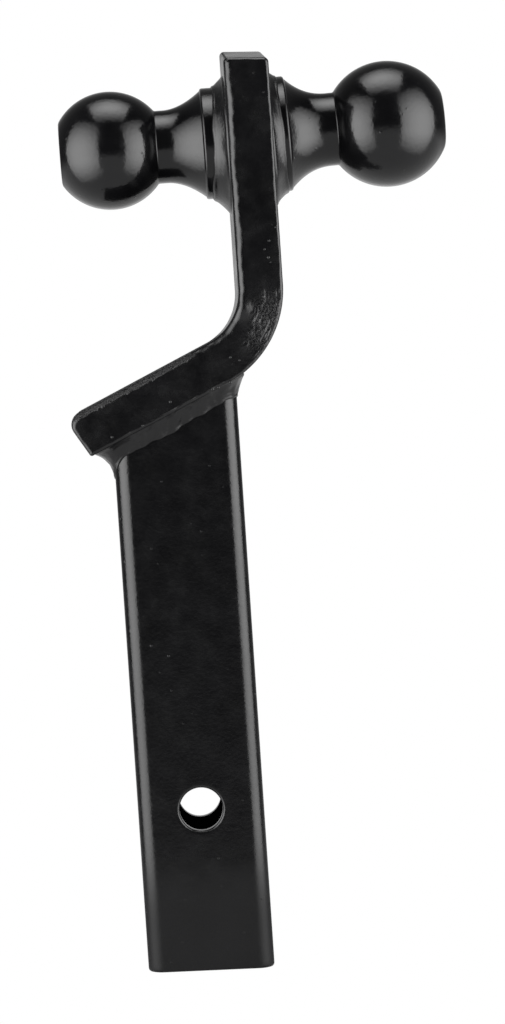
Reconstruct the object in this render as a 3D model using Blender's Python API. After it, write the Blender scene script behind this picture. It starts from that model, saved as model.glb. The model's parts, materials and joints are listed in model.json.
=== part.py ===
"""Welded two-ball mount for a 2 inch receiver.

A square hollow shank slides into the receiver and is held by a hitch pin
through its cross hole. A bent flat bar is welded across the mitred rear end
of the shank, and one hitch ball is welded to each face of its rear leg. The
mount is turned over to bring the other ball to the top.

World frame, metres: +X forward along the shank to its insertion end, +Y to
the left, parallel to the pin hole, +Z up, the side the larger ball is on.
The origin lies on the middle of the shank's upper face, straight above the
pin axis.

Shapes are laid out with a station s, measured rearward from the insertion
end, a height h above the shank's axis, and a lateral offset y.
"""

import math
from typing import NamedTuple

import bmesh
import bpy
from mathutils import Matrix, Vector

MM = 0.001
GAP = 0.3 * MM  # clearance kept between neighbouring pieces

# Shank: 2 inch square hollow section
SHANK_SIDE = 50.8 * MM
SHANK_HALF = SHANK_SIDE / 2
SHANK_WALL = 4.76 * MM
SHANK_CORNER_R = 6.5 * MM
SHANK_INNER_R = 2.0 * MM
SHANK_END_CHAMFER = 0.9 * MM
SHANK_END_SKEW = math.radians(1.5)  # the sawn end is off square, its upper side further forward
CORNER_STEPS = 6
CORNER_SIGNS = ((1, 1), (-1, 1), (-1, -1), (1, -1))  # (h, y) signs, from upper left

# Pin hole
PIN_STATION = 65.4 * MM
PIN_HOLE_R = 8.7 * MM  # clears a 5/8 inch hitch pin
PIN_RIM = 1.1 * MM  # rounding of the punched rim
PIN_RIM_STEPS = 4
PIN_STEPS = 40
CUTTER_OVERSHOOT = 2 * MM  # cutter length beyond each side face

# Joint between shank and plate: a sloping plane
FOOT_SLOPE = math.radians(24.4)  # from upright, the top further to the rear
FOOT_STATION = 225.3 * MM  # where the foot's front face meets the shank's axis
GROUND_DEPTH = 0.3 * MM  # band ground clean for welding around the shank's rear end
GROUND_LOW = 13.6 * MM  # its length on the lower face
GROUND_HIGH = 7.6 * MM  # its length on the upper face

# Plate: bent flat bar with a foot across the shank and a level rear leg
PLATE_T = 17.9 * MM
PLATE_W = 63.5 * MM
PLATE_H = 37.5 * MM  # height of the rear leg's mid plane above the shank's axis
PLATE_REAR = 367.3 * MM  # station of the rear end at mid width
PLATE_REAR_SKEW = math.radians(6.7)  # the sheared end is off square across the bar
PLATE_REAR_TILT = math.radians(2.9)  # and through its thickness
BEND_INNER_R = 23.0 * MM
BEND_OUTER_R = 42.0 * MM
BEND_STEPS = 14
FOOT_END_H = -34.3 * MM  # height of the foot end's front corner
FOOT_END_LEAN = math.radians(31.5)  # the end face drops rearward at this angle
FOOT_END_R = 5.5 * MM  # rounding of the foot end's rear corner
FOOT_END_STEPS = 5
PLATE_EDGE_R = 1.9 * MM


class Ball(NamedTuple):
    """One forging with neck, flare and collar, and the ring weld that holds it.

    "Along" is measured on the ball's axis from its centre, positive away from the plate.
    """

    name: str
    side: int  # 1 on the plate's upper face, -1 on its lower face
    radius: float
    station: float
    lean: float  # positive leans rearward
    reach: float  # ball centre above the plate face
    flat_r: float  # flat on the crown
    neck_r: float
    collar_r: float
    flare_start: float  # along, where the flare meets the collar
    flare_end: float  # along, where it meets the neck
    flare_power: float  # how hollow its curve is
    weld_out: float  # weld leg on the plate
    weld_up: float  # weld leg on the collar


BALLS = (
    Ball(
        name="large", side=1, radius=25.4 * MM,  # 2 inch
        station=334.1 * MM, lean=math.radians(1.8), reach=47.4 * MM,
        flat_r=10.8 * MM, neck_r=14.75 * MM, collar_r=23.2 * MM,
        flare_start=-40.2 * MM, flare_end=-23.2 * MM, flare_power=2.3,
        weld_out=4.8 * MM, weld_up=4.6 * MM,
    ),
    Ball(
        name="small", side=-1, radius=23.81 * MM,  # 1-7/8 inch
        station=332.35 * MM, lean=math.radians(-0.45), reach=47.3 * MM,
        flat_r=12.5 * MM, neck_r=14.75 * MM, collar_r=22.4 * MM,
        flare_start=-37.5 * MM, flare_end=-22.4 * MM, flare_power=1.85,
        weld_out=5.9 * MM, weld_up=5.6 * MM,
    ),
)
BALL_STEPS = 44
BALL_ARC_STEPS = 14
FLARE_STEPS = 9
COLLAR_LOW_CHAMFER = 0.4 * MM
COLLAR_TOP_CHAMFER = 0.5 * MM
NECK_ROOT = 0.9 * MM  # size of the blend where neck meets ball

# Fillet welds around the shank: (leg on the shank, leg on the plate)
WELD_SIDE = (7.2 * MM, 5.7 * MM)
WELD_LOW = (13.0 * MM, 7.6 * MM)
WELD_HIGH = (6.8 * MM, 3.4 * MM)
# Middle of each run in degrees about the shank's axis, from the upper face towards the left
WELD_RUNS = {"upper": 0.0, "left": 90.0, "lower": 180.0, "right": 270.0}
WELD_RUN_HALF = 44.0  # degrees to either side of the middle
WELD_CORNER_STEPS = 2 * CORNER_STEPS
WELD_STRAIGHT_STEPS = 8

# Bead faces of all welds
WELD_STEPS = 5
SHANK_WELD_HOLLOW = 0.30  # how far the face sinks, as a share of its distance from the root
BALL_WELD_HOLLOW = 0.22
BALL_WELD_LIP = 0.5 * MM  # upright outer edge of the ring welds

BLACK = (0.012, 0.012, 0.013, 1.0)
BODY_ROUGHNESS = 0.28
BALL_ROUGHNESS = 0.2
WELD_ROUGHNESS = 0.35
SHARP_ANGLE = math.radians(32)


def clear_scene():
    for ob in list(bpy.data.objects):
        bpy.data.objects.remove(ob, do_unlink=True)


def paint(name, roughness):
    mat = bpy.data.materials.new(name)
    mat.use_nodes = True
    inputs = mat.node_tree.nodes["Principled BSDF"].inputs
    inputs["Base Color"].default_value = BLACK
    inputs["Roughness"].default_value = roughness
    inputs["Metallic"].default_value = 0.0
    return mat


# Mesh and outline helpers


def loft(name, rings, closed=False, roughness=BODY_ROUGHNESS, location=None, rotation=None):
    """Skin equal rings in order; closed joins last to first, otherwise the ends are capped."""
    count = len(rings[0])
    faces = []
    for k in range(len(rings) if closed else len(rings) - 1):
        a, b = k * count, (k + 1) % len(rings) * count
        for i in range(count):
            j = (i + 1) % count
            faces.append((a + i, a + j, b + j, b + i))
    if not closed:
        last = (len(rings) - 1) * count
        faces.append(tuple(reversed(range(count))))
        faces.append(tuple(range(last, last + count)))

    mesh = bpy.data.meshes.new(name)
    mesh.from_pydata([tuple(point) for ring in rings for point in ring], [], faces)
    bm = bmesh.new()
    bm.from_mesh(mesh)
    bmesh.ops.recalc_face_normals(bm, faces=bm.faces)
    bm.to_mesh(mesh)
    bm.free()
    mesh.shade_smooth()
    mesh.set_sharp_from_angle(angle=SHARP_ANGLE)
    mesh.materials.append(paint(name + "_paint", roughness))

    ob = bpy.data.objects.new(name, mesh)
    if location is not None:
        ob.location = location
    if rotation is not None:
        ob.rotation_mode = "QUATERNION"
        ob.rotation_quaternion = rotation
    bpy.context.scene.collection.objects.link(ob)
    return ob


def lathe(name, profile, steps, **options):
    """Turn (radius, along) points about +Z; the options go to loft."""
    angles = [2 * math.pi * i / steps for i in range(steps)]
    rings = [[(r * math.cos(a), r * math.sin(a), z) for a in angles] for r, z in profile]
    return loft(name, rings, **options)


def arc(centre, radius, start, end, steps):
    """Points on a 2-D arc, both ends included; angles in radians."""
    out = []
    for i in range(steps + 1):
        a = start + (end - start) * i / steps
        out.append((centre[0] + radius * math.cos(a), centre[1] + radius * math.sin(a)))
    return out


def rounded_square(half, radius):
    """Outline of a rounded square in (h, y), from +h towards +y."""
    corner = half - radius
    quarter = math.pi / 2
    out = []
    for k, (sign_h, sign_y) in enumerate(CORNER_SIGNS):
        centre = (sign_h * corner, sign_y * corner)
        out += arc(centre, radius, k * quarter, (k + 1) * quarter, CORNER_STEPS)
    return out


def bead_face(leg_out, leg_up, hollow):
    """(out, up) points of a hollow weld face, from the end of leg_out to that of leg_up."""
    out = []
    for i in range(WELD_STEPS + 1):
        f = i / WELD_STEPS
        scale = 1 - hollow * math.sin(math.pi * f)
        out.append((leg_out * (1 - f) * scale, leg_up * f * scale))
    return out


# Layout: points and the stations of the planes that cross the shank


def at(s, h, y=0.0):
    """World point for a station, a height above the shank's axis and an offset."""
    return Vector((PIN_STATION - s, y, h - SHANK_HALF))


def foot_line(h):
    """Station of the foot's front face at height h."""
    return FOOT_STATION + h * math.tan(FOOT_SLOPE)


def mitre(h):
    """Station of the shank's rear end at height h."""
    return foot_line(h) - GAP / math.cos(FOOT_SLOPE)


def end_line(h):
    """Station of the sawn insertion end at height h."""
    return -h * math.tan(SHANK_END_SKEW)


def chamfer_line(h):
    """Station where the insertion end's chamfer meets the outer faces."""
    return end_line(h) + SHANK_END_CHAMFER


def ground_line(h):
    """Station where the ground band starts, on a plane across the shank."""
    low = mitre(-SHANK_HALF) - GROUND_LOW
    high = mitre(SHANK_HALF) - GROUND_HIGH
    return low + (high - low) * (h + SHANK_HALF) / SHANK_SIDE


# Shank


def build_shank():
    def inset(depth):
        return rounded_square(SHANK_HALF - depth, SHANK_CORNER_R - depth)

    outer = inset(0.0)
    ground = inset(GROUND_DEPTH)
    inner = rounded_square(SHANK_HALF - SHANK_WALL, SHANK_INNER_R)
    layers = (
        (end_line, inner),
        (end_line, inset(SHANK_END_CHAMFER)),
        (chamfer_line, outer),
        (ground_line, outer),
        (ground_line, ground),
        (mitre, ground),
        (mitre, inner),
    )
    rings = [[at(line(h), h, y) for h, y in outline] for line, outline in layers]
    tube = loft("shank_tube", rings, closed=True)

    cut = tube.modifiers.new("pin_hole", "BOOLEAN")
    cut.operation = "DIFFERENCE"
    cut.solver = "EXACT"
    cut.object = build_pin_cutter()


def build_pin_cutter():
    """Cutter for the pin hole, flared over the rounded rim at both side faces."""
    edge_r = PIN_HOLE_R + PIN_RIM
    rim = arc((edge_r, SHANK_HALF - PIN_RIM), PIN_RIM, math.pi / 2, math.pi, PIN_RIM_STEPS)
    left = [(edge_r, SHANK_HALF + CUTTER_OVERSHOOT)] + rim
    profile = [(r, -along) for r, along in left] + left[::-1]
    cutter = lathe(
        "pin_hole_cutter", profile, PIN_STEPS,
        location=at(PIN_STATION, 0.0),
        rotation=Vector((0, 0, 1)).rotation_difference(Vector((0, 1, 0))),
    )
    cutter.hide_render = True
    cutter.display_type = "WIRE"
    return cutter


# Plate


def plate_outline():
    """Side profile of the bent bar in (h, s), from the rear end's top round to its bottom."""
    cos_slope = math.cos(FOOT_SLOPE)
    h_low, h_top = PLATE_H - PLATE_T / 2, PLATE_H + PLATE_T / 2

    # Bend centres: the outer bend joins the leg's top to the foot's front face
    inner_h, outer_h = h_low - BEND_INNER_R, h_top - BEND_OUTER_R
    inner = (inner_h, foot_line(inner_h) + (PLATE_T + BEND_INNER_R) / cos_slope)
    outer = (outer_h, foot_line(outer_h) + BEND_OUTER_R / cos_slope)
    foot_angle = FOOT_SLOPE - math.pi / 2  # direction square out of the foot's front face

    # Foot end: a flat end face from the front corner to the rounded rear corner
    front = (FOOT_END_H, foot_line(FOOT_END_H))
    end_length = PLATE_T / math.cos(FOOT_END_LEAN - FOOT_SLOPE)
    rear = (
        front[0] - end_length * math.sin(FOOT_END_LEAN),
        front[1] + end_length * math.cos(FOOT_END_LEAN),
    )
    half_corner = (math.pi / 2 - FOOT_END_LEAN + FOOT_SLOPE) / 2
    bisector = (FOOT_END_LEAN + FOOT_SLOPE - math.pi / 2) / 2
    distance = FOOT_END_R / math.sin(half_corner)
    centre = (
        rear[0] + distance * math.cos(bisector),
        rear[1] + distance * math.sin(bisector),
    )
    return [
        (h_top, PLATE_REAR),
        *arc(outer, BEND_OUTER_R, 0.0, foot_angle, BEND_STEPS),
        front,
        *arc(
            centre, FOOT_END_R, math.pi + FOOT_END_LEAN, math.pi / 2 + FOOT_SLOPE, FOOT_END_STEPS
        ),
        *arc(inner, BEND_INNER_R, foot_angle, 0.0, BEND_STEPS),
        (h_low, PLATE_REAR),
    ]


def build_plate():
    outline = plate_outline()
    rings = []
    for y in (-PLATE_W / 2, PLATE_W / 2):
        # the first and last points carry the skewed and tilted rear end
        skewed = [
            (h, s + y * math.tan(PLATE_REAR_SKEW) - (h - PLATE_H) * math.tan(PLATE_REAR_TILT))
            for h, s in (outline[0], outline[-1])
        ]
        rings.append([at(s, h, y) for h, s in [skewed[0], *outline[1:-1], skewed[1]]])
    plate = loft("offset_plate", rings)

    bevel = plate.modifiers.new("rolled_edges", "BEVEL")
    bevel.width = PLATE_EDGE_R
    bevel.segments = 3
    bevel.limit_method = "ANGLE"
    bevel.angle_limit = math.radians(40)
    bevel.use_clamp_overlap = True


# Balls and their ring welds


def ball_frame(ball):
    """Centre of the ball's seat on the plate, its axis, and the rotation of +Z to that axis."""
    foot = at(ball.station, PLATE_H + ball.side * PLATE_T / 2)
    axis = Vector((-math.sin(ball.lean), 0.0, ball.side * math.cos(ball.lean)))
    turn = Matrix.Rotation(math.atan2(axis.x, axis.z), 3, "Y").to_quaternion()
    return foot, axis, turn


def ball_profile(ball):
    """(radius, along) from the base to the crown; ball centre at along = 0."""
    # a leaning ball's flat base is lifted so its low edge stays clear of the plate
    lift = abs(math.sin(ball.lean)) * ball.collar_r
    base = -(ball.reach - lift - GAP)
    flare_r = ball.collar_r - COLLAR_TOP_CHAMFER
    profile = [
        (ball.collar_r - COLLAR_LOW_CHAMFER, base),
        (ball.collar_r, base + COLLAR_LOW_CHAMFER),
        (ball.collar_r, ball.flare_start - COLLAR_TOP_CHAMFER),
        (flare_r, ball.flare_start),
    ]
    # flare: a hollow curve from the collar in to the neck
    for i in range(1, FLARE_STEPS + 1):
        f = i / FLARE_STEPS
        r = ball.neck_r + (flare_r - ball.neck_r) * (1 - f) ** ball.flare_power
        profile.append((r, ball.flare_start + (ball.flare_end - ball.flare_start) * f))
    # small root blend where neck meets ball
    low = -math.sqrt(ball.radius**2 - ball.neck_r**2)
    profile.append((ball.neck_r, low - NECK_ROOT))
    profile.append((ball.neck_r + 0.25 * NECK_ROOT, low - 0.25 * NECK_ROOT))
    start = math.asin((ball.neck_r + 0.7 * NECK_ROOT) / ball.radius) - math.pi / 2
    end = math.pi / 2 - math.asin(ball.flat_r / ball.radius)
    return profile + arc((0.0, 0.0), ball.radius, start, end, BALL_ARC_STEPS)


def build_ball(ball):
    foot, axis, turn = ball_frame(ball)
    lathe(
        "ball_" + ball.name, ball_profile(ball), BALL_STEPS,
        roughness=BALL_ROUGHNESS, location=foot + axis * ball.reach, rotation=turn,
    )


def build_ball_weld(ball):
    foot, _, turn = ball_frame(ball)
    inner = ball.collar_r + GAP
    outer = inner + ball.weld_out
    # lifted, like the ball's base, to clear the plate all round
    lift = abs(math.sin(ball.lean)) * outer + GAP
    section = [(inner, lift), (outer, lift)]
    for out, up in bead_face(ball.weld_out, ball.weld_up - BALL_WELD_LIP, BALL_WELD_HOLLOW):
        section.append((inner + out, lift + BALL_WELD_LIP + up))
    lathe(
        "weld_ball_" + ball.name, section, BALL_STEPS,
        closed=True, roughness=WELD_ROUGHNESS, location=foot, rotation=turn,
    )


# Shank welds


def shank_perimeter():
    """Points (h, y, normal_h, normal_y) round the shank's outer face."""
    corner = SHANK_HALF - SHANK_CORNER_R
    path = []
    for k, (sign_h, sign_y) in enumerate(CORNER_SIGNS):
        for i in range(WELD_CORNER_STEPS + 1):
            a = math.radians(90 * (k + i / WELD_CORNER_STEPS))
            normal_h, normal_y = math.cos(a), math.sin(a)
            h = sign_h * corner + SHANK_CORNER_R * normal_h
            y = sign_y * corner + SHANK_CORNER_R * normal_y
            path.append((h, y, normal_h, normal_y))
        # the flat that follows, stepped on from the corner's last point
        for i in range(1, WELD_STRAIGHT_STEPS):
            run = 2 * corner * i / WELD_STRAIGHT_STEPS
            path.append((h - normal_y * run, y + normal_h * run, normal_h, normal_y))
    return path


def shank_weld_section(h, y, normal_h, normal_y):
    """World points of the fillet's section at one point of the shank's perimeter."""
    side = normal_y**2
    end_legs = WELD_HIGH if normal_h >= 0 else WELD_LOW
    leg_shank, leg_plate = (
        at_side * side + at_end * (1 - side) for at_side, at_end in zip(WELD_SIDE, end_legs)
    )
    # The root follows the unground face, so it stands GROUND_DEPTH off the ground band
    root = [(0.0, 0.0)]
    section = []
    for out, forward in root + bead_face(leg_plate, leg_shank, SHANK_WELD_HOLLOW):
        height = h + normal_h * out
        station = foot_line(height) - 2 * GAP / math.cos(FOOT_SLOPE) - forward
        section.append(at(station, height, y + normal_y * out))
    return section


def build_shank_weld(name, middle):
    """A fillet run around the part of the shank centred on one perimeter angle."""
    start = middle - WELD_RUN_HALF
    stops = []
    for point in shank_perimeter():
        h, y = point[:2]
        turned = (math.degrees(math.atan2(y, h)) - start) % 360
        if turned <= 2 * WELD_RUN_HALF:
            stops.append((turned, point))
    sections = [shank_weld_section(*point) for _, point in sorted(stops)]
    loft("weld_shank_" + name, sections, roughness=WELD_ROUGHNESS)


def main():
    clear_scene()
    build_shank()
    build_plate()
    for ball in BALLS:
        build_ball(ball)
    for ball in BALLS:
        build_ball_weld(ball)
    for name, middle in WELD_RUNS.items():
        build_shank_weld(name, middle)


main()
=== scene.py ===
"""Looks for the welded two-ball mount: fine meshes, gloss black paint, stage, lights and camera.

A square shank is welded to the leaning foot of a bent plate, and the plate's level arm carries a
large ball on top and a small one below. Everything is in the part's own frame, in metres: +X
forward along the shank, +Y left along the pin hole, +Z up through the larger ball. Shapes are laid
out with a station s measured rearward from the insertion end, a height h above the shank's axis,
and a lateral offset y, all in millimetres.
"""

import json
import math

import bmesh
import bpy
import numpy as np
from mathutils import Matrix, Vector, noise

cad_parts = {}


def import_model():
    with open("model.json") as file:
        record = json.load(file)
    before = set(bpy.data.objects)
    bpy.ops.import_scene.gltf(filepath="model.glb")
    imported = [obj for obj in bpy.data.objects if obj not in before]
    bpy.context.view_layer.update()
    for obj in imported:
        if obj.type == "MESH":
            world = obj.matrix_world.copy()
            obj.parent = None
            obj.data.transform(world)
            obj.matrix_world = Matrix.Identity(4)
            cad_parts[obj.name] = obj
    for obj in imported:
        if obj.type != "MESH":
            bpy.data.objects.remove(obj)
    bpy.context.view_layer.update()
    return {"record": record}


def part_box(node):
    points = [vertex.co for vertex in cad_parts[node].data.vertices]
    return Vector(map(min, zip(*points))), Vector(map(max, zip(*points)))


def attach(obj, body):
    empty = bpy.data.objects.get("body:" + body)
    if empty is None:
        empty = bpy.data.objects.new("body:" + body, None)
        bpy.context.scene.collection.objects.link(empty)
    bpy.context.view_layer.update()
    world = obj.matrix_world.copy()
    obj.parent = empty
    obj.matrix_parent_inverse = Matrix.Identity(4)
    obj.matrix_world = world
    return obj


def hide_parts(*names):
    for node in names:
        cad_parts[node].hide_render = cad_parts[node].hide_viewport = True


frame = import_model()
MOUNTS = {m["name"]: m for m in frame["record"]["mounts"]}
MM = 0.001
scene = bpy.context.scene

# ---------------------------------------------------------------- sizes, mm
tube_lo, tube_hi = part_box("shank_tube")
plate_lo, plate_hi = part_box("offset_plate")

# square tube
HALF = (tube_hi.y - tube_lo.y) / MM / 2  # half its side; its upper face is at z = 0
WALL = 4.76
CORNER_R = 6.5
INNER_CORNER_R = 2.0
END_EASE = 1.3  # rounding of the insertion end's outer edge
END_SKEW = math.tan(math.radians(1.5))
PIN = 65.4  # station of the pin axis, which is at x = 0
HOLE_R = 8.7
HOLE_RIM = 1.1  # rounding of the pin hole's edge
WELD_GAP = 0.05  # left between parts that are welded together

# bent plate: a level arm and a foot that leans against the shank's rear end
PLATE_HALF = (plate_hi.y - plate_lo.y) / MM / 2
THICK = 17.9
ARM_TOP = plate_hi.z / MM + HALF
ARM_UNDER = ARM_TOP - THICK
REAR = 367.3
REAR_SKEW = math.tan(math.radians(6.7))  # rear end off square across the plate
REAR_TILT = math.tan(math.radians(2.9))  # and off square over its thickness
SKEW_REACH = 34  # length of arm over which the skew builds up
LEAN = math.radians(24.4)
LEAN_TAN, LEAN_COS, LEAN_SIN = math.tan(LEAN), math.cos(LEAN), math.sin(LEAN)
FOOT = 225.3  # station of the foot's front face on the shank's axis
FOOT_END_H = -34.3
FOOT_END_LEAN = math.radians(31.5)
BEND_IN_R, BEND_OUT_R = 23.0, 42.0

# balls: z is measured from the ball's centre towards its crown, reach from the centre to the plate
LARGE_BALL = dict(
    radius=25.4, crown_r=10.8, crown_ease=1.3, neck_r=14.7, neck_z=-23.2,
    flare_power=2.3, collar_r=23.2, collar_top=-40.2, reach=47.4,
)
SMALL_BALL = dict(
    radius=23.81, crown_r=12.5, crown_ease=0.8, neck_r=14.7, neck_z=-22.4,
    flare_power=1.85, collar_r=22.4, collar_top=-37.6, reach=47.3,
)

# spatter: height, station, distance from the middle plane, radius
SPATTER = (
    (40.0, 287.4, 31.6, 0.45), (44.9, 295.8, 31.6, 0.40),
    (23.6, 245.5, 31.6, 0.50), (27.1, 244.1, 31.6, 0.45),
    (15.7, 233.3, 31.3, 0.70), (18.1, 233.9, 31.3, 0.60),
    (23.0, 235.6, 31.3, 0.70), (31.2, 262.5, 31.6, 0.70),
    (42.0, 282.1, 31.6, 0.35), (35.5, 255.4, 31.5, 0.45),
)


def foot_line(h):
    """Station of the foot's front face at height h."""
    return FOOT + h * LEAN_TAN


def world(s, h, y):
    """Stacks station, height and offset arrays (mm) into world points (m)."""
    return np.stack([(PIN - s) * MM, y * MM, (h - HALF) * MM], axis=-1)


# ---------------------------------------------------------------- mesh helpers
def build(name, verts, faces, sharp=None):
    """Makes an object; with sharp given it is smooth but for edges over that angle in degrees."""
    mesh = bpy.data.meshes.new(name)
    mesh.from_pydata([tuple(map(float, v)) for v in verts], [], faces)
    bm = bmesh.new()
    bm.from_mesh(mesh)
    bmesh.ops.remove_doubles(bm, verts=bm.verts, dist=1e-7)
    bmesh.ops.recalc_face_normals(bm, faces=bm.faces)
    bm.to_mesh(mesh)
    bm.free()
    if sharp is not None:
        mesh.shade_smooth()
        mesh.set_sharp_from_angle(angle=math.radians(sharp))
    ob = bpy.data.objects.new(name, mesh)
    scene.collection.objects.link(ob)
    return ob


def attribute(ob, name, values):
    layer = ob.data.attributes.new(name, "FLOAT", "POINT")
    layer.data.foreach_set("value", np.asarray(values, np.float32))


def install(ob, slot, *pieces):
    """Puts an object in place of CAD pieces; the slot argument is not used."""
    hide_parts(*pieces)
    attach(ob, "root")


def band(a, b):
    """Quads between two closed rings of vertex indices."""
    n = len(a)
    return [(a[i], a[(i + 1) % n], b[(i + 1) % n], b[i]) for i in range(n)]


def stack(first, n, count, closed=False):
    """Quads joining count consecutive rings of n vertices; closed also joins the last to the first."""
    faces = []
    for k in range(count if closed else count - 1):
        a = first + k * n
        b = first + (k + 1) % count * n
        faces += band(range(a, a + n), range(b, b + n))
    return faces


def tangents(loop):
    """Unit tangents of a closed 2-D loop, blended over neighbours."""
    t = np.roll(loop, -1, 0) - np.roll(loop, 1, 0)
    return t / np.linalg.norm(t, axis=1)[:, None]


def loop_phase(loop):
    """Travelled length round a closed loop as an angle of 0 to 2 pi, and the whole length."""
    seg = np.linalg.norm(np.roll(loop, -1, 0) - loop, axis=1)
    total = seg.sum()
    return 2 * math.pi * np.concatenate([[0], np.cumsum(seg)[:-1]]) / total, total


def uneven(phase, *waves):
    """A factor wandering about 1: the sum of waves, each (amplitude, cycles, shift)."""
    return 1 + sum(amp * np.sin(cycles * phase + shift) for amp, cycles, shift in waves)


def bell(x, middle, width):
    return np.exp(-(((x - middle) / width) ** 2))


def lumps(x, y, z, scale, seed):
    """Smooth noise in about -1..1 at arrays of coordinates in mm."""
    out = np.empty(len(x))
    for i, (a, b, c) in enumerate(zip(x, y, z)):
        place = (a * scale + seed, b * scale - seed, c * scale + 2.3 * seed)
        out[i] = noise.noise(Vector(place))
    return out


# ---------------------------------------------------------------- hitch balls
def arc_points(centre, radius, start, end, n):
    angles = [start + (end - start) * i / n for i in range(n + 1)]
    return [(centre[0] + radius * math.cos(a), centre[1] + radius * math.sin(a)) for a in angles]


def ball_profile(radius, crown_r, crown_ease, neck_r, neck_z, flare_power, collar_r, collar_top,
                 reach):
    """(r, z) points from the middle of the base to the middle of the crown's flat."""
    base = WELD_GAP - reach
    chamfer, shoulder, root = 0.5, 1.0, 1.1
    flare_r = collar_r - shoulder
    prof = [
        (0.0, base),
        (collar_r - chamfer, base),
        (collar_r, base + chamfer),
        (collar_r, collar_top - shoulder),
    ]
    prof += arc_points((flare_r, collar_top - shoulder), shoulder, 0.0, math.pi / 2, 5)[1:]
    # hollow flare up to the neck
    flare_steps = 46
    for i in range(1, flare_steps + 1):
        f = i / flare_steps
        r = neck_r + (flare_r - neck_r) * (1 - f) ** flare_power
        prof.append((r, collar_top + (neck_z - collar_top) * f))
    # small fillet between neck and ball
    root_angle = math.asin((neck_r + root) / (radius + root))
    root_z = -math.cos(root_angle) * (radius + root)
    prof.append((neck_r, root_z - 0.6))
    prof += arc_points((neck_r + root, root_z), root, math.pi, math.pi / 2 + root_angle, 7)
    # ball surface from the fillet up to the crown's flat
    top_angle = math.pi / 2 - math.asin((crown_r + crown_ease) / radius)
    prof += arc_points((0, 0), radius, root_angle - math.pi / 2, top_angle, 84)[1:]
    # eased edge of the flat, a quadratic curve, then the flat
    crown_z = math.sqrt(radius * radius - crown_r * crown_r)
    flat_r = crown_r - crown_ease
    curve = prof[-1], (crown_r, crown_z), (flat_r, crown_z)
    for k in range(1, 8):
        f = k / 7
        weights = (1 - f) ** 2, 2 * f * (1 - f), f * f
        prof.append(tuple(sum(w * p[j] for w, p in zip(weights, curve)) for j in (0, 1)))
    prof += [(flat_r * k / 6, crown_z) for k in (5, 4, 3, 2, 1)] + [(0.0, crown_z)]
    # points that all but coincide are merged
    clean = [prof[0]]
    for p in prof[1:]:
        if math.hypot(p[0] - clean[-1][0], p[1] - clean[-1][1]) > 0.02:
            clean.append(p)
    return clean


def make_ball(name, piece, mount_name, sizes):
    """A turned ball, neck and collar; also returns the matrix of its centre and axis."""
    mount = MOUNTS[mount_name]
    axis = Vector(mount["axis"]).normalized()
    prof = ball_profile(**sizes)
    crown_z = prof[-1][1]
    centre = Vector(mount["pos_m"]) - axis * (crown_z * MM)
    turn = Vector((0, 0, 1)).rotation_difference(axis).to_matrix().to_4x4()
    matrix = Matrix.Translation(centre) @ turn

    steps = 176
    body = prof[1:-1]
    verts = []
    for r, z in body:
        for i in range(steps):
            a = 2 * math.pi * i / steps
            verts.append(matrix @ Vector((r * math.cos(a) * MM, r * math.sin(a) * MM, z * MM)))
    bottom, top = len(verts), len(verts) + 1
    ends = [prof[0][1], crown_z]
    verts += [matrix @ Vector((0, 0, z * MM)) for z in ends]
    faces = stack(0, steps, len(body))
    last = (len(body) - 1) * steps
    for i in range(steps):
        j = (i + 1) % steps
        faces.append((bottom, j, i))
        faces.append((top, last + i, last + j))
    ob = build(name, verts, faces, sharp=50)
    attribute(ob, "along", np.concatenate([np.repeat([z for r, z in body], steps), ends]))
    install(ob, "ball_paint", piece)
    return ob, matrix


def make_ring_weld(name, piece, matrix, ball, front, rear, seed):
    """Fillet run around a ball's collar; front and rear are its (leg out, leg up) at +X and -X."""
    steps, across = 420, 22
    collar_r = ball["collar_r"]
    root_r = collar_r - 0.6  # inside the collar
    diagonal = 0.7071
    angles = np.linspace(0, 2 * math.pi, steps, endpoint=False)
    turn = matrix.to_3x3()
    forward = [(turn @ Vector((math.cos(a), math.sin(a), 0))).normalized().x for a in angles]
    front_share = (0.5 + 0.5 * np.array(forward)) ** 1.2
    out = front[0] * front_share + rear[0] * (1 - front_share)
    up = front[1] * front_share + rear[1] * (1 - front_share)
    up = up * uneven(angles, (0.035, 5, seed), (0.02, 11, 2.0 * seed))
    out = out * uneven(angles, (0.04, 4, 1.7 * seed), (0.03, 9, seed))
    verts = []
    for i, a in enumerate(angles):
        section = [(root_r, -0.35)]
        for k in range(across + 1):
            f = k / across  # 0 at the toe on the plate, 1 at the top on the collar
            hollow = -0.05 * out[i] * math.sin(math.pi * f)
            swell = 0.30 * bell(f, 0.90, 0.09) + 0.20 * bell(f, 0.06, 0.08)
            place = (3.2 * math.cos(a), 3.2 * math.sin(a), 1.8 * f + seed)
            off = (hollow + swell + 0.22 * noise.noise(Vector(place))) * diagonal
            section.append((collar_r + out[i] * (1 - f) + off, up[i] * f + off))
        # the toe and the back of the bead are sunk into the plate and the collar
        section[1] = (section[1][0], -0.30)
        section.append((root_r, section[-1][1] - 0.25))
        for r, z in section:
            point = (r * math.cos(a) * MM, r * math.sin(a) * MM, (z - ball["reach"]) * MM)
            verts.append(matrix @ Vector(point))
    ob = build(name, verts, stack(0, across + 3, steps, closed=True), sharp=70)
    install(ob, "weld_paint", piece)
    return ob


ball_l, matrix_l = make_ball("ball_large_forging", "ball_large", "large_ball_crown", LARGE_BALL)
ball_s, matrix_s = make_ball("ball_small_forging", "ball_small", "small_ball_crown", SMALL_BALL)
ring_l = make_ring_weld(
    "ring_weld_large", "weld_ball_large", matrix_l, LARGE_BALL,
    front=(5.4, 5.4), rear=(3.4, 4.2), seed=3,
)
ring_s = make_ring_weld(
    "ring_weld_small", "weld_ball_small", matrix_s, SMALL_BALL,
    front=(7.2, 7.2), rear=(4.1, 4.8), seed=8,
)

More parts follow.
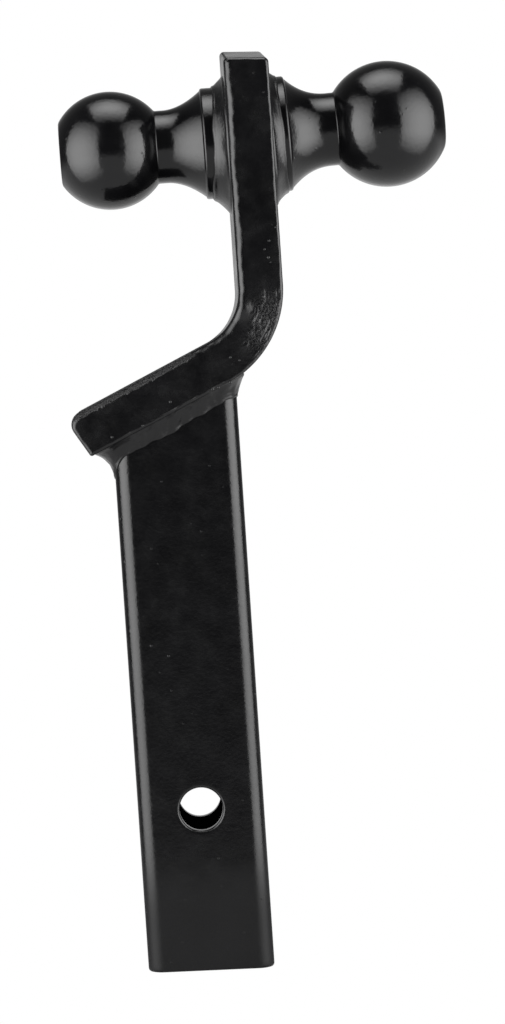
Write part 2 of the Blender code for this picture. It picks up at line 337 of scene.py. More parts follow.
# ---------------------------------------------------------------- bent plate
# centres of the bend's inner and outer arcs, as (h, s)
BEND_IN_H = ARM_UNDER - BEND_IN_R
BEND_OUT_H = ARM_TOP - BEND_OUT_R
BEND_IN = (BEND_IN_H, FOOT + THICK / LEAN_COS + BEND_IN_H * LEAN_TAN + BEND_IN_R / LEAN_COS)
BEND_OUT = (BEND_OUT_H, FOOT + BEND_OUT_H * LEAN_TAN + BEND_OUT_R / LEAN_COS)
NO_LIMIT = 9.0  # edge radius limit away from the corners; more than any edge has


def profile_arc(centre, radius, start, end, n, skip=1, limit=NO_LIMIT):
    points = arc_points(centre, radius, start, end, n)
    return [(h, s, limit) for h, s in points[skip:]]


def profile_line(start, end, n):
    p, q = np.array(start), np.array(end)
    return [(*(p + (q - p) * i / n), NO_LIMIT) for i in range(1, n + 1)]


def profile_corner(before, at, after, radius):
    """Rounds a corner: both halves of its arc, and the points where it leaves the two lines."""
    u = np.array(before) - at
    v = np.array(after) - at
    u, v = u / np.linalg.norm(u), v / np.linalg.norm(v)
    half = math.acos(u @ v) / 2
    c = at + (u + v) / np.linalg.norm(u + v) * radius / math.sin(half)
    p, q = at + u * radius / math.tan(half), at + v * radius / math.tan(half)
    start, end = (math.atan2(e[1] - c[1], e[0] - c[0]) for e in (p, q))
    # turn the short way
    while end - start > math.pi:
        end -= 2 * math.pi
    while start - end > math.pi:
        end += 2 * math.pi
    middle = (start + end) / 2
    limit = radius * 0.93
    first = profile_arc(c, radius, start, middle, 5, limit=limit)
    second = profile_arc(c, radius, middle, end, 5, skip=0, limit=limit)
    return first, second, p, q


def plate_sides():
    """Outer, foot-end, inner and rear-end sides of the profile, as (h, s, edge radius limit).

    Each side runs from the middle of one corner to the middle of the next.
    """
    foot_front = np.array([FOOT_END_H, foot_line(FOOT_END_H)])
    along_end = np.array([-math.sin(FOOT_END_LEAN), math.cos(FOOT_END_LEAN)])
    end_length = THICK / (along_end[0] * -LEAN_SIN + along_end[1] * LEAN_COS)
    foot_back = foot_front + along_end * end_length
    bend_angle = LEAN - math.pi / 2
    out_start, in_start = (ARM_TOP, BEND_OUT[1]), (ARM_UNDER, BEND_IN[1])
    out_end = arc_points(BEND_OUT, BEND_OUT_R, 0.0, bend_angle, 1)[1]
    in_end = arc_points(BEND_IN, BEND_IN_R, 0.0, bend_angle, 1)[1]
    rear_top, rear_under = np.array([ARM_TOP, REAR]), np.array([ARM_UNDER, REAR])

    top_a, top_b, top_p, top_q = profile_corner(rear_under, rear_top, out_start, 2.0)
    front_a, front_b, front_p, front_q = profile_corner(out_end, foot_front, foot_back, 1.1)
    back_a, back_b, back_p, back_q = profile_corner(foot_front, foot_back, in_end, 5.5)
    under_a, under_b, under_p, under_q = profile_corner(in_start, rear_under, rear_top, 2.0)

    arm_steps, bend_steps, foot_steps, end_steps = 120, 84, 92, 34
    outer = top_b + profile_line(top_q, out_start, arm_steps)
    outer += profile_arc(BEND_OUT, BEND_OUT_R, 0.0, bend_angle, bend_steps)
    outer += profile_line(out_end, front_p, foot_steps) + front_a
    foot_end = front_b + profile_line(front_q, back_p, end_steps) + back_a
    inner = back_b + profile_line(back_q, in_end, foot_steps)
    inner += profile_arc(BEND_IN, BEND_IN_R, bend_angle, 0.0, bend_steps)
    inner += profile_line(in_start, under_p, arm_steps) + under_a
    rear_end = under_b + profile_line(under_q, top_p, end_steps) + top_a
    return outer, foot_end, inner, rear_end


def face_patch(verts, ring_start, n_long, n_short):
    """Coons grid inside the ring that bounds a side face: its inner points and its quads."""
    n_ring = 2 * (n_long + n_short)
    a, b = np.arange(n_long + 1), np.arange(n_short + 1)
    ids = np.empty((n_long + 1, n_short + 1), int)
    ids[:, 0] = ring_start + a
    ids[:, -1] = ring_start + 2 * n_long + n_short - a
    ids[0] = ring_start + (n_ring - b) % n_ring
    ids[-1] = ring_start + n_long + b
    c0, c1, d0, d1 = (verts[k, :2] for k in (ids[:, 0], ids[:, -1], ids[0], ids[-1]))
    u = np.linspace(0, 1, n_long + 1)[:, None, None]
    v = np.linspace(0, 1, n_short + 1)[None, :, None]
    grid = (1 - v) * c0[:, None] + v * c1[:, None] + (1 - u) * d0[None] + u * d1[None]
    grid -= (1 - u) * (1 - v) * c0[0] + u * (1 - v) * c0[-1]
    grid -= (1 - u) * v * c1[0] + u * v * c1[-1]
    new = grid[1:-1, 1:-1].reshape(-1, 2)
    ids[1:-1, 1:-1] = len(verts) + np.arange(len(new)).reshape(n_long - 1, n_short - 1)
    quads = [
        (ids[i, j], ids[i + 1, j], ids[i + 1, j + 1], ids[i, j + 1])
        for i in range(n_long)
        for j in range(n_short)
    ]
    return np.column_stack([new, np.full(len(new), verts[ring_start, 2])]), quads


def plate_detail(h, s, y):
    """Marks of bending and shearing; returns the moved h, s, y and the masks by name."""
    # polar place about the centre of the bend's outer arc
    r = np.hypot(h - BEND_OUT[0], s - BEND_OUT[1])
    angle = np.degrees(np.arctan2(s - BEND_OUT[1], h - BEND_OUT[0]))
    in_bend = np.clip(1 - np.abs((angle + 33) / 44) ** 3, 0, 1)
    in_bend = in_bend * (h > BEND_OUT[0] - 6) * (s < BEND_OUT[1] + 22)
    near_face = np.clip((np.abs(y) - (PLATE_HALF - 3.5)) / 3.5, 0, 1)
    sign = np.sign(y)
    outward = sign * near_face
    # stretched streaks near the outside of the bend
    coarse = lumps(r * 0.9, angle * 0.09, sign * 9, scale=0.95, seed=3.1)
    fine = lumps(r * 1.3, angle * 0.24, sign * 9, scale=0.95, seed=7.7)
    streaks = np.clip(1 - np.abs((angle + 24) / 23) ** 3, 0, 1) * (h > BEND_OUT[0])
    streaks = streaks * np.clip((r - (BEND_OUT_R - 12)) / 4, 0, 1)
    ridges = np.clip(coarse - 0.16, 0, 1) * 1.1 + np.clip(fine - 0.26, 0, 1) * 0.7
    y = y + outward * streaks * ridges
    # metal pushed out at the inside of the bend, and drawn in at its outside
    from_inside = np.hypot(h - (ARM_UNDER + 1.2), s - (BEND_IN[1] - 8.0))
    y = y + outward * 1.2 * bell(from_inside, 0, 3.8)
    y = y - outward * in_bend * 0.55 * np.clip((r - (BEND_OUT_R - 9)) / 9, 0, 1)
    # crumbly sheared edges of the foot's rear face
    foot_back = (h < 8) & (s > foot_line(h) + THICK / LEAN_COS - 2.6)
    rough = lumps(h, s, y * 0.8, scale=0.75, seed=11.0)
    rough = rough + 0.6 * lumps(h, s, y, scale=1.7, seed=5.0)
    crumble = near_face * foot_back
    y = y + sign * crumble * 0.16 * rough
    s = s - crumble * 0.10 * np.abs(rough)
    # very slight waviness of the faces
    h = h + 0.07 * lumps(h, s, y, scale=0.028, seed=1.0)
    # sheared rear end, off square
    share = np.clip((s - (REAR - SKEW_REACH)) / SKEW_REACH, 0, 1.2)
    s = s + (y * REAR_SKEW - (h - (ARM_TOP - THICK / 2)) * REAR_TILT) * share
    return h, s, y, {"bend": streaks, "crumble": crumble, "rim": near_face}


def make_plate():
    sides = plate_sides()
    n_long, n_short = len(sides[0]) - 1, len(sides[1]) - 1
    loop = np.concatenate([np.array(side)[:-1] for side in sides])
    n = len(loop)
    profile, limit = loop[:, :2], loop[:, 2]
    t = tangents(profile)
    normals = np.stack([-t[:, 1], t[:, 0]], 1)  # outward: the loop runs clockwise in (h, s)
    phase, _ = loop_phase(profile)

    # edges on the outer side of the bend are sharp, those on its inner side well rolled
    edge_radii = (1.25, 1.7, 2.9, 1.6)
    base = np.concatenate([np.full(len(side) - 1, r) for side, r in zip(sides, edge_radii)])
    kernel = np.hanning(15) / np.hanning(15).sum()
    base = np.convolve(np.concatenate([base[-7:], base, base[:7]]), kernel, "valid")

    def edge_radius(shift):
        waves = (0.10, 9, shift), (0.08, 23, 2 * shift), (0.06, 71, shift)
        return np.minimum(base * uneven(phase, *waves), limit)

    def edge_row(radius, sign, i):
        phi = math.pi / 2 * i / edge_steps
        inset = normals * (radius * (1 - math.sin(phi)))[:, None]
        y = sign * (PLATE_HALF - radius * (1 - math.cos(phi)))
        return np.column_stack([profile - inset, y])

    right_r, left_r = edge_radius(0.7), edge_radius(2.9)
    edge_steps, width_steps = 7, 34
    rows = [edge_row(right_r, -1, i) for i in range(edge_steps + 1)]
    for i in range(1, width_steps):
        f = i / width_steps
        y = (right_r - PLATE_HALF) * (1 - f) + (PLATE_HALF - left_r) * f
        rows.append(np.column_stack([profile, y]))
    rows += [edge_row(left_r, 1, i) for i in range(edge_steps, -1, -1)]
    verts = np.concatenate(rows)
    faces = stack(0, n, len(rows))
    for ring_start in (0, (len(rows) - 1) * n):
        new, quads = face_patch(verts, ring_start, n_long, n_short)
        verts = np.concatenate([verts, new])
        faces += quads

    h, s, y, masks = plate_detail(*verts.T)
    ob = build("bent_plate", world(s, h, y), faces, sharp=60)
    # the masks fit only while no vertices were merged
    if len(ob.data.vertices) == len(verts):
        for name, values in masks.items():
            attribute(ob, name, values)
    install(ob, "plate_paint", "offset_plate")
    return ob


plate = make_plate()


# ---------------------------------------------------------------- square tube
def rounded_loop(half, radius, side_n, corner_n):
    """(h, y) loop, counter-clockwise from the right end of the upper face: sides, then corners."""
    c = half - radius
    sides = (
        ((half, -c), (half, c)),
        ((c, half), (-c, half)),
        ((-half, c), (-half, -c)),
        ((-c, -half), (c, -half)),
    )
    centres = ((c, c), (-c, c), (-c, -c), (c, -c))
    out = []
    for k, ((h0, y0), (h1, y1)) in enumerate(sides):
        for i in range(side_n):
            out.append((h0 + (h1 - h0) * i / side_n, y0 + (y1 - y0) * i / side_n))
        start = k * math.pi / 2
        out += arc_points(centres[k], radius, start, start + math.pi / 2, corner_n)[:-1]
    return np.array(out)


def make_tube():
    side_n, corner_n, rear_n = 24, 14, 91
    # square patch round the pin hole, as wide as the flat of the tube's side
    flat = HALF - CORNER_R
    patch_lo, patch_hi = PIN - flat, PIN + flat
    front = np.linspace(END_EASE, patch_lo, 29)
    fixed = np.concatenate([front, np.linspace(patch_lo, patch_hi, side_n + 1)[1:]])
    patch_first = len(front) - 1
    patch_last = patch_first + side_n
    # columns of the patches on the left (1) and right (-1) sides
    pitch = side_n + corner_n
    columns = {1: (pitch, pitch + side_n), -1: (3 * pitch, 3 * pitch + side_n)}
    verts, faces = [], []

    def add(points):
        first = len(verts)
        verts.extend(np.asarray(points, float).tolist())
        return range(first, len(verts))

    def add_loop(s, half, radius):
        loop = rounded_loop(half, radius, side_n, corner_n)
        return add(np.column_stack([np.full(len(loop), s), loop]))

    def add_wall(half, radius):
        """Rows of vertices from the front end to the plate."""
        loop = rounded_loop(half, radius, side_n, corner_n)
        rear = foot_line(loop[:, 0]) - WELD_GAP
        stations = [np.full(len(loop), s) for s in fixed]
        for f in np.linspace(0, 1, rear_n + 1)[1:]:
            stations.append(patch_hi + (rear - patch_hi) * f)
        return [add(np.column_stack([s, loop])) for s in stations]

    outer_rows = add_wall(HALF, CORNER_R)
    inner_rows = add_wall(HALF - WALL, INNER_CORNER_R)
    for rows in (outer_rows, inner_rows):
        for j in range(len(rows) - 1):
            for i, quad in enumerate(band(rows[j], rows[j + 1])):
                in_columns = any(a <= i < b for a, b in columns.values())
                if not (patch_first <= j < patch_last and in_columns):
                    faces.append(quad)

    # cut front end: eased outer edge, flat land, small inner edge
    previous = outer_rows[0]
    for degrees in (30, 60, 90):
        a = math.radians(degrees)
        r = END_EASE * (1 - math.cos(a))
        current = add_loop(END_EASE * (1 - math.sin(a)), HALF - r, CORNER_R - r)
        faces.extend(band(previous, current))
        previous = current
    land_edge = 0.4
    land = add_loop(0.0, HALF - WALL + land_edge, INNER_CORNER_R + land_edge)
    faces.extend(band(previous, land))
    faces.extend(band(land, inner_rows[0]))
    # rear end, butted on the plate
    faces.extend(band(outer_rows[-1], inner_rows[-1]))

    def border(rows, col_a, col_b):
        """Indices round the square patch, in one turning order."""
        ids = [rows[patch_first][i] for i in range(col_a, col_b)]
        ids += [rows[j][col_b] for j in range(patch_first, patch_last)]
        ids += [rows[patch_last][i] for i in range(col_b, col_a, -1)]
        ids += [rows[j][col_a] for j in range(patch_last, patch_first, -1)]
        return ids

    def circle(ids, radius, y):
        """Points on a circle about the pin axis that face the border points."""
        n = len(ids)
        a0, a1 = (math.atan2(verts[k][1], verts[k][0] - PIN) for k in (ids[0], ids[n // 4]))
        turn = 1 if (a1 - a0 + math.pi) % (2 * math.pi) - math.pi > 0 else -1
        angles = [a0 + turn * 2 * math.pi * k / n for k in range(n)]
        return [(PIN + radius * math.cos(a), radius * math.sin(a), y) for a in angles]

    def web(ids, radius, y, count=12):
        """Rings from the square border in to the circle; returns the last ring."""
        target = np.array(circle(ids, radius, y))
        source = np.array([verts[i] for i in ids])
        previous = ids
        for k in range(1, count + 1):
            f = (k / count) ** 0.9
            current = add(source * (1 - f) + target * f)
            faces.extend(band(previous, current))
            previous = current
        return previous

    # pin hole: webs on both faces of the wall, rolled rim, bore
    rim_angles = [math.pi / 2 * i / 8 for i in range(1, 9)]
    bore = [
        (HOLE_R + HOLE_RIM * (1 - math.sin(a)), HALF - HOLE_RIM * (1 - math.cos(a)))
        for a in rim_angles
    ]
    bore += [(HOLE_R, y) for y in np.linspace(HALF - HOLE_RIM, HALF - WALL, 5)[1:]]
    for sign, cols in columns.items():
        outer_ids = border(outer_rows, *cols)
        ring = web(outer_ids, HOLE_R + HOLE_RIM, sign * HALF)
        for radius, y in bore:
            current = add(circle(outer_ids, radius, sign * y))
            faces.extend(band(ring, current))
            ring = current
        inner_ring = web(border(inner_rows, *cols), HOLE_R, sign * (HALF - WALL))
        faces.extend(band(ring, inner_ring))

    # front end slightly off square
    s, h, y = np.array(verts).T
    s = s - h * END_SKEW * np.clip(1 - s / patch_lo, 0, 1)
    ob = build("square_tube", world(s, h, y), faces, sharp=40)
    install(ob, "shank_paint", "shank_tube")
    return ob


tube = make_tube()


# ---------------------------------------------------------------- fillet bead around the shank
def add_spatter(verts, faces):
    """Small beads sunk by half into both side faces, as (s, h, y)."""
    turns, bands = 12, 7
    for height, station, face, radius in SPATTER:
        for sign in (-1, 1):
            first = len(verts)
            shift = 0.7 if sign > 0 else 0.0  # the left side's beads are moved a little
            for b in range(1, bands):
                polar = math.pi * b / bands
                for k in range(turns):
                    a = 2 * math.pi * k / turns
                    verts.append((
                        station + shift + radius * math.sin(polar) * math.cos(a),
                        height - shift + radius * math.sin(polar) * math.sin(a),
                        sign * (face + 0.75 * radius * math.cos(polar)),
                    ))
            faces.extend(stack(first, turns, bands - 1))
            last = first + (bands - 2) * turns
            faces.append(tuple(reversed(range(first, first + turns))))
            faces.append(tuple(range(last, last + turns)))


def make_shank_weld():
    loop = rounded_loop(HALF, CORNER_R, 96, 30)
    t = tangents(loop)
    normals = np.stack([t[:, 1], -t[:, 0]], 1)
    phase, total = loop_phase(loop)
    side = normals[:, 1] ** 2  # 1 on the left and right runs, 0 on the upper and lower
    upper = normals[:, 0] >= 0
    # legs of the bead along the tube and up the plate
    tube_leg = 7.2 * side + np.where(upper, 6.8, 13.0) * (1 - side)
    plate_leg = 6.35 * side + np.where(upper, 3.4, 7.6) * (1 - side)
    tube_leg = tube_leg * uneven(phase, (0.07, 5, 0.6), (0.05, 13, 2.0), (0.03, 31, 0))
    plate_leg = plate_leg * uneven(phase, (0.02, 7, 1.0), (0.015, 23, 0))
    across = 26
    ripples = round(total / 2.6)
    verts = []
    for i, (h0, y0) in enumerate(loop):
        nh, ny = normals[i]
        ph = phase[i]
        # the runs on the flat sides are nearly flat; the lower one is hollow
        hollowness = 0.10 * side[i] + (0.19 if nh < 0 else 0.08) * (1 - side[i])
        width = math.hypot(plate_leg[i], tube_leg[i])
        off_out, off_down = tube_leg[i] / width, plate_leg[i] / width
        calm = 0.45 + 0.55 * (0.5 + 0.5 * math.sin(3 * ph + 1.3))
        section = [(-0.5, 0.4)]  # (outward from the tube, forward from the plate)
        for k in range(across + 1):
            f = k / across  # 0 on the plate, 1 on the tube
            out = plate_leg[i] * (1 - f)
            down = tube_leg[i] * f - 1.4 * side[i] ** 3 * (1 - f) ** 2
            hollow = -hollowness * width * 0.5 * math.sin(math.pi * f)
            swell = 0.24 * bell(f, 0.94, 0.06) + 0.12 * bell(f, 0.05, 0.06)
            # curved ripples that fade at both toes
            crest = ripples * ph + 13.6 * (f - 0.5) ** 2 + 0.7 * math.sin(9 * ph)
            ripple = 0.03 * calm * (0.5 + 0.5 * math.cos(crest)) ** 1.5
            ripple *= math.sin(math.pi * (f * 0.94 + 0.03)) ** 0.5
            coarse = noise.noise(Vector((h0 * 0.22, y0 * 0.22, f * 2.2 + 5.0)))
            fine = noise.noise(Vector((h0 * 0.6, y0 * 0.6, f * 4 + 9.0)))
            off = hollow + swell + ripple + 0.34 * coarse + 0.16 * fine
            section.append((out + off * off_out, down + off * off_down))
        # both toes and the back of the bead are sunk into the metal
        section[1] = (section[1][0], -0.3 - 1.3 * side[i] ** 3)
        section[-1] = (-0.25, section[-1][1])
        section.append((-0.5, section[-1][1] - 0.4))
        for out, down in section:
            h = h0 + nh * out
            verts.append((foot_line(h) - down, h, y0 + ny * out))
    faces = stack(0, across + 3, len(loop), closed=True)
    add_spatter(verts, faces)
    ob = build("shank_fillet_bead", world(*np.array(verts).T), faces, sharp=75)
    runs = [f"weld_shank_{run}" for run in ("upper", "lower", "left", "right")]
    install(ob, "weld_paint", *runs)
    return ob


shank_bead = make_shank_weld()


# ---------------------------------------------------------------- shader node helpers
def add_node(tree, kind, inputs=None, **props):
    """Makes a node; inputs maps socket names or numbers to values or to sockets to link."""
    made = tree.nodes.new(kind)
    for key, value in props.items():
        setattr(made, key, value)
    for key, value in (inputs or {}).items():
        if isinstance(value, bpy.types.NodeSocket):
            tree.links.new(value, made.inputs[key])
        else:
            made.inputs[key].default_value = value
    return made


def calc(tree, operation, *values):
    made = add_node(tree, "ShaderNodeMath", dict(enumerate(values)), operation=operation)
    return made.outputs[0]


def vector_calc(tree, operation, a, b):
    inputs = {0: a, 1: tuple(b)}
    return add_node(tree, "ShaderNodeVectorMath", inputs, operation=operation)


def smooth_range(tree, value, start, end, top=1.0):
    """Smooth rise from 0 to top as the value goes from start to end."""
    inputs = {"Value": value, "From Min": start, "From Max": end, "To Max": top}
    made = add_node(tree, "ShaderNodeMapRange", inputs, interpolation_type="SMOOTHSTEP")
    return made.outputs[0]


def noise_tex(tree, vector, scale, detail, roughness):
    inputs = {"Scale": scale, "Detail": detail, "Roughness": roughness, "Vector": vector}
    return add_node(tree, "ShaderNodeTexNoise", inputs).outputs["Fac"]


def ramp(tree, fac, *stops):
    """Colour ramp of two stops, each (position, grey level or colour)."""
    made = add_node(tree, "ShaderNodeValToRGB", {"Fac": fac})
    for element, (position, shade) in zip(made.color_ramp.elements, stops):
        element.position = position
        element.color = (*shade, 1) if isinstance(shade, tuple) else (shade, shade, shade, 1)
    return made.outputs["Color"]


def empty_tree(owner):
    owner.use_nodes = True
    owner.node_tree.nodes.clear()
    return owner.node_tree


# ---------------------------------------------------------------- paint
def insertion_end_mask(tree, position):
    """Rises towards the shank's insertion end, between x = 6 and 46 mm."""
    split = add_node(tree, "ShaderNodeSeparateXYZ", {0: position})
    return smooth_range(tree, split.outputs["X"], 6.0, 46.0)


def foot_back_mask(tree, _position):
    """Faces turned the way of the foot's rear face."""
    normal = add_node(tree, "ShaderNodeNewGeometry").outputs["True Normal"]
    facing = vector_calc(tree, "DOT_PRODUCT", normal, (-LEAN_COS, 0.0, -LEAN_SIN))
    return smooth_range(tree, facing.outputs["Value"], 0.95, 0.99)


def plate_relief(tree, position, height):
    """Torn scale in the stretched side of the bend and a crumbly sheared edge, under the paint."""
    for mask, amount, scale in (("bend", 0.08, 0.9), ("crumble", 0.36, 1.3)):
        share = add_node(tree, "ShaderNodeAttribute", attribute_name=mask).outputs["Fac"]
        grain = noise_tex(tree, position, scale=scale, detail=3, roughness=0.62)
        torn = calc(tree, "MULTIPLY", ramp(tree, grain, (0.42, 0.0), (0.60, 1.0)), share)
        height = calc(tree, "ADD", height, calc(tree, "MULTIPLY", torn, amount))
    return height


def paint(name, rough, peel, peel_mm, fine, pits, base=(0.0022, 0.0022, 0.0025), dull=None,
          relief=None):
    """Gloss black paint, all from nodes in millimetres.

    peel, fine and pits are heights of the orange peel (peel_mm wide), the grain and the dust nibs.
    dull is (mask function, roughness, specular level) of a duller coat; relief adds to the height.
    """
    mat = bpy.data.materials.new(name)
    tree = empty_tree(mat)
    out = add_node(tree, "ShaderNodeOutputMaterial")
    bsdf = add_node(tree, "ShaderNodeBsdfPrincipled", {"IOR": 1.5})
    tree.links.new(bsdf.outputs[0], out.inputs[0])
    coords = add_node(tree, "ShaderNodeTexCoord").outputs["Object"]
    to_mm = {0: coords, "Scale": 1000.0}
    position = add_node(tree, "ShaderNodeVectorMath", to_mm, operation="SCALE").outputs[0]

    # colour: deep black with faint broad unevenness and a trace of dust
    broad = noise_tex(tree, position, scale=0.045, detail=3, roughness=0.6)
    dust = noise_tex(tree, position, scale=1.4, detail=4, roughness=0.7)
    dark, light = (tuple(c * gain for c in base) for gain in (0.75, 1.35))
    colour_inputs = {
        "A": ramp(tree, broad, (0.3, dark), (0.7, light)),
        "B": (0.05, 0.05, 0.052, 1),
        "Factor": ramp(tree, dust, (0.60, 0.0), (0.78, 0.10)),
    }
    colour = add_node(tree, "ShaderNodeMix", colour_inputs, data_type="RGBA")
    tree.links.new(colour.outputs["Result"], bsdf.inputs["Base Color"])

    # gloss: slightly uneven, and duller where the mask says so
    patches = noise_tex(tree, position, scale=0.12, detail=4, roughness=0.6)
    wander = 0.25
    gloss = ramp(tree, patches, (0.35, rough * (1 - wander)), (0.68, rough * (1 + wander)))
    if dull:
        make_mask, dull_rough, dull_specular = dull
        mask = make_mask(tree, position)
        blend_inputs = {"Factor": mask, "A": gloss, "B": dull_rough}
        blend = add_node(tree, "ShaderNodeMix", blend_inputs, data_type="FLOAT")
        gloss = blend.outputs["Result"]
        specular_inputs = {"Value": mask, "To Min": 0.5, "To Max": dull_specular}
        specular = add_node(tree, "ShaderNodeMapRange", specular_inputs)
        tree.links.new(specular.outputs[0], bsdf.inputs["Specular IOR Level"])
    tree.links.new(gloss, bsdf.inputs["Roughness"])

    # height in millimetres: orange peel, fine grain, scattered nibs
    peel_tex = noise_tex(tree, position, scale=1.0 / peel_mm, detail=1.5, roughness=0.4)
    height = calc(tree, "MULTIPLY", peel_tex, peel)
    fine_tex = noise_tex(tree, position, scale=2.4, detail=2, roughness=0.5)
    height = calc(tree, "ADD", height, calc(tree, "MULTIPLY", fine_tex, fine))
    cell_inputs = {"Scale": 0.16, "Randomness": 1.0, "Vector": position}
    cells = add_node(tree, "ShaderNodeTexVoronoi", cell_inputs)
    spot = ramp(tree, cells.outputs["Distance"], (0.03, 1.0), (0.085, 0.0))
    height = calc(tree, "ADD", height, calc(tree, "MULTIPLY", spot, pits))
    if relief:
        height = relief(tree, position, height)
    bump_inputs = {"Strength": 1.0, "Distance": 0.001, "Height": height}
    bump = add_node(tree, "ShaderNodeBump", bump_inputs)
    tree.links.new(bump.outputs[0], bsdf.inputs["Normal"])
    return mat


ball_mat = paint("forging_gloss_black", rough=0.15, peel=0.045, peel_mm=1.5, fine=0.012, pits=0.07)
tube_mat = paint(
    "tube_gloss_black", rough=0.21, peel=0.055, peel_mm=1.5, fine=0.03, pits=0.10,
    dull=(insertion_end_mask, 0.50, 0.26),
)
plate_mat = paint(
    "plate_gloss_black", rough=0.24, peel=0.06, peel_mm=1.7, fine=0.03, pits=0.14,
    dull=(foot_back_mask, 0.5, 0.16), relief=plate_relief,
)
weld_mat = paint(
    "weld_gloss_black", rough=0.22, peel=0.07, peel_mm=1.3, fine=0.04, pits=0.10,
    base=(0.003, 0.003, 0.0033),
)
for mat, obs in (
    (ball_mat, (ball_l, ball_s)),
    (tube_mat, (tube,)),
    (plate_mat, (plate,)),
    (weld_mat, (ring_l, ring_s, shank_bead)),
):
    for ob in obs:
        ob.data.materials.clear()
        ob.data.materials.append(mat)

# ---------------------------------------------------------------- camera
# looks from the part's right side, rolled so that the shank hangs below the balls
AIM_S, AIM_H = 182.07, 29.07
DISTANCE = 1500.0
PITCH, YAW, ROLL = math.radians(2.629), math.radians(1.419), math.radians(-3.803)
SENSOR_WIDTH, FOCAL_LENGTH = 36.0, 129.56836


def side_view(v):
    """Directions given as right, away, up in the side view, to world axes."""
    x, y, z = v
    return Vector((-z, y, x))


def camera_direction(v):
    """A direction in the level camera's right, away, up, turned by pitch and yaw to the world."""
    x, y, z = v
    c, s = math.cos(PITCH), math.sin(PITCH)
    y, z = c * y + s * z, -s * y + c * z
    c, s = math.cos(YAW), math.sin(YAW)
    return side_view((c * x + s * y, -s * x + c * y, z))


def axes_matrix(x, y, z, origin):
    matrix = Matrix.Identity(4)
    for column, vector in enumerate((x, y, z, origin)):
        for row in range(3):
            matrix[row][column] = vector[row]
    return matrix


def make_camera():
    right = camera_direction((math.cos(ROLL), 0, math.sin(ROLL)))
    up = camera_direction((-math.sin(ROLL), 0, math.cos(ROLL)))
    ahead = camera_direction((0, 1, 0))
    aim = Vector(((PIN - AIM_S) * MM, 0, (AIM_H - HALF) * MM))
    data = bpy.data.cameras.new("camera")
    cam = bpy.data.objects.new("camera", data)
    scene.collection.objects.link(cam)
    data.sensor_width = SENSOR_WIDTH
    data.lens = FOCAL_LENGTH
    data.clip_start, data.clip_end = 0.05, 50
    cam.matrix_world = axes_matrix(right, up, -ahead, aim - ahead * DISTANCE * MM)
    scene.camera = cam


make_camera()

# ---------------------------------------------------------------- lights
BALLS_MIDDLE = (matrix_l.translation + matrix_s.translation) / 2


def softbox(name, centre, target, width, height, level, up_hint=(0, 0, 1)):
    """Area light, brightest in the middle and fading towards its ends.

    Its places are in side-view axes (right, away, up) in metres from the balls' middle; level is
    its radiance.
    """
    data = bpy.data.lights.new(name, "AREA")
    data.shape = "RECTANGLE"
    data.size, data.size_y = width, height
    data.energy = level * math.pi * width * height
    ob = bpy.data.objects.new(name, data)
    scene.collection.objects.link(ob)
    origin = BALLS_MIDDLE + side_view(centre)
    z = (origin - (BALLS_MIDDLE + side_view(target))).normalized()
    x = side_view(up_hint).cross(z).normalized()
    y = z.cross(x)
    ob.matrix_world = axes_matrix(x, y, z, origin)
    ob.visible_camera = False

    data.use_nodes = True
    tree = data.node_tree
    position = add_node(tree, "ShaderNodeNewGeometry").outputs["Position"]
    falloffs = []
    for axis, fade in ((x, width * 0.62), (y, height * 0.34)):
        offset = vector_calc(tree, "SUBTRACT", position, origin).outputs[0]
        along = vector_calc(tree, "DOT_PRODUCT", offset, axis / fade).outputs["Value"]
        square = calc(tree, "MULTIPLY", along, along)
        falloffs.append(calc(tree, "EXPONENT", calc(tree, "MULTIPLY", square, -1.0)))
    strength = calc(tree, "MULTIPLY", *falloffs)
    tree.links.new(strength, tree.nodes["Emission"].inputs["Strength"])


# tall boxes left and right in the view, and one above the part in the view
for name, side in (("softbox_left", -1), ("softbox_right", 1)):
    softbox(
        name, centre=(side * 0.66, -0.36, 0.0), target=(side * 0.05, 0.05, 0.0),
        width=0.98, height=1.75, level=5.3,
    )
softbox(
    "softbox_top", centre=(0.0, -0.06, 1.0), target=(0, 0, 0),
    width=0.95, height=1.15, level=4.6, up_hint=(0, 1, 0),
)

# ---------------------------------------------------------------- world
# glows in the dim studio seen in reflections: side-view direction, level, power
GLOWS = (
    ((0, 1, 0), 0.25, 1.5),
    ((0, 1, 0), 0.55, 14.0),
    ((0, -1, -0.35), 0.02, 2.0),
    ((1, 0, 0), 0.03, 1.0),
    ((-1, 0, 0), 0.03, 1.0),
)
AMBIENT = 0.012


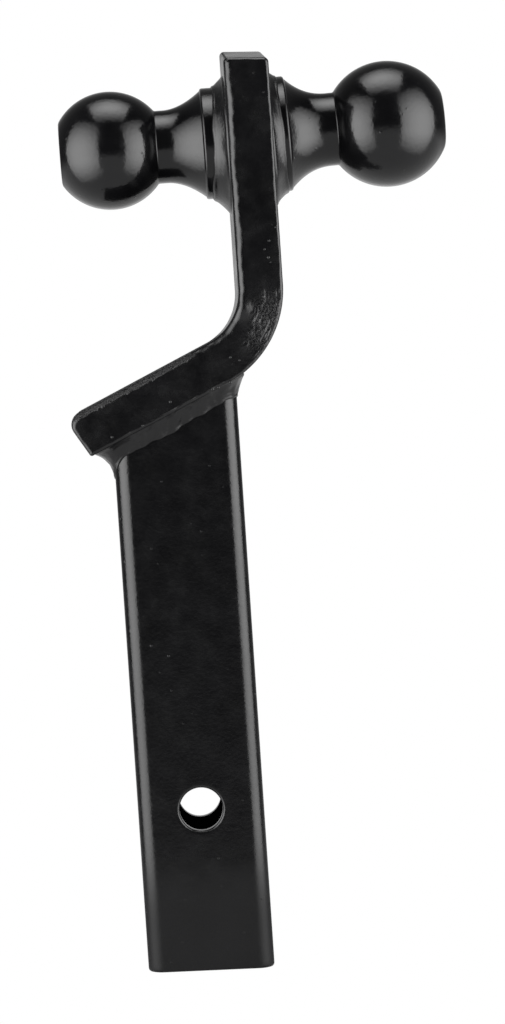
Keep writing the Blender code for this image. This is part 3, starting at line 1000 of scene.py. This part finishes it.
def make_world():
    """White to the camera, a dim studio in reflections."""
    studio = bpy.data.worlds.new("studio")
    scene.world = studio
    tree = empty_tree(studio)
    out = add_node(tree, "ShaderNodeOutputWorld")
    white_inputs = {"Color": (1, 1, 1, 1), "Strength": 1.0}
    white = add_node(tree, "ShaderNodeBackground", white_inputs)
    dim = add_node(tree, "ShaderNodeBackground")
    is_camera = add_node(tree, "ShaderNodeLightPath").outputs["Is Camera Ray"]
    mix_inputs = {0: is_camera, 1: dim.outputs[0], 2: white.outputs[0]}
    mix = add_node(tree, "ShaderNodeMixShader", mix_inputs)
    tree.links.new(mix.outputs[0], out.inputs[0])
    coords = add_node(tree, "ShaderNodeTexCoord").outputs["Generated"]

    def towards(direction):
        axis = side_view(direction).normalized()
        return vector_calc(tree, "DOT_PRODUCT", coords, axis).outputs["Value"]

    # a broad glow from below in the view
    total = smooth_range(tree, towards((0, 0, -1)), 0.07, 0.32, top=0.70)
    for direction, level, power in GLOWS:
        facing = calc(tree, "MAXIMUM", towards(direction), 0.0)
        glow = calc(tree, "MULTIPLY", calc(tree, "POWER", facing, power), level)
        total = calc(tree, "ADD", total, glow)
    tree.links.new(calc(tree, "ADD", total, AMBIENT), dim.inputs["Strength"])


make_world()


# ---------------------------------------------------------------- floor
def make_floor():
    """A pale disc under the part, self-lit grey in the middle as a painted soft shadow that fades out
    to the white background; sizes in metres.
    """
    centre = ((plate_lo.x + tube_hi.x) / 2, 0, -0.16)
    n, radii = 96, (0.12, 0.24, 0.36, 0.48)
    shadow_fade_start, shadow_fade_end = 0.04, 0.46
    verts = [centre]
    for r in radii:
        for i in range(n):
            a = 2 * math.pi * i / n
            verts.append((centre[0] + r * math.cos(a), r * math.sin(a), centre[2]))
    faces = [(0, 1 + i, 1 + (i + 1) % n) for i in range(n)]
    faces += stack(1, n, len(radii))
    ob = build("floor", verts, faces)

    mat = bpy.data.materials.new("floor_with_painted_shadow")
    tree = empty_tree(mat)
    out = add_node(tree, "ShaderNodeOutputMaterial")
    # painted shadow: a self-lit grey under the part, faded out to the white background by distance
    # from the centre
    painted_shadow_grey = add_node(tree, "ShaderNodeEmission", {"Color": (0.84, 0.84, 0.84, 1)})
    clear = add_node(tree, "ShaderNodeBsdfTransparent")
    position = add_node(tree, "ShaderNodeNewGeometry").outputs["Position"]
    distance = vector_calc(tree, "DISTANCE", position, centre).outputs["Value"]
    fade = smooth_range(tree, distance, shadow_fade_start, shadow_fade_end)
    mix_inputs = {0: fade, 1: painted_shadow_grey.outputs[0], 2: clear.outputs[0]}
    mix = add_node(tree, "ShaderNodeMixShader", mix_inputs)
    tree.links.new(mix.outputs[0], out.inputs[0])
    ob.data.materials.append(mat)
    ob.visible_glossy = False
    ob.visible_diffuse = False
    ob.visible_shadow = False


make_floor()

scene.view_settings.view_transform = "Standard"
scene.view_settings.look = "None"
scene.view_settings.exposure = 0.0
scene.view_settings.gamma = 1.0
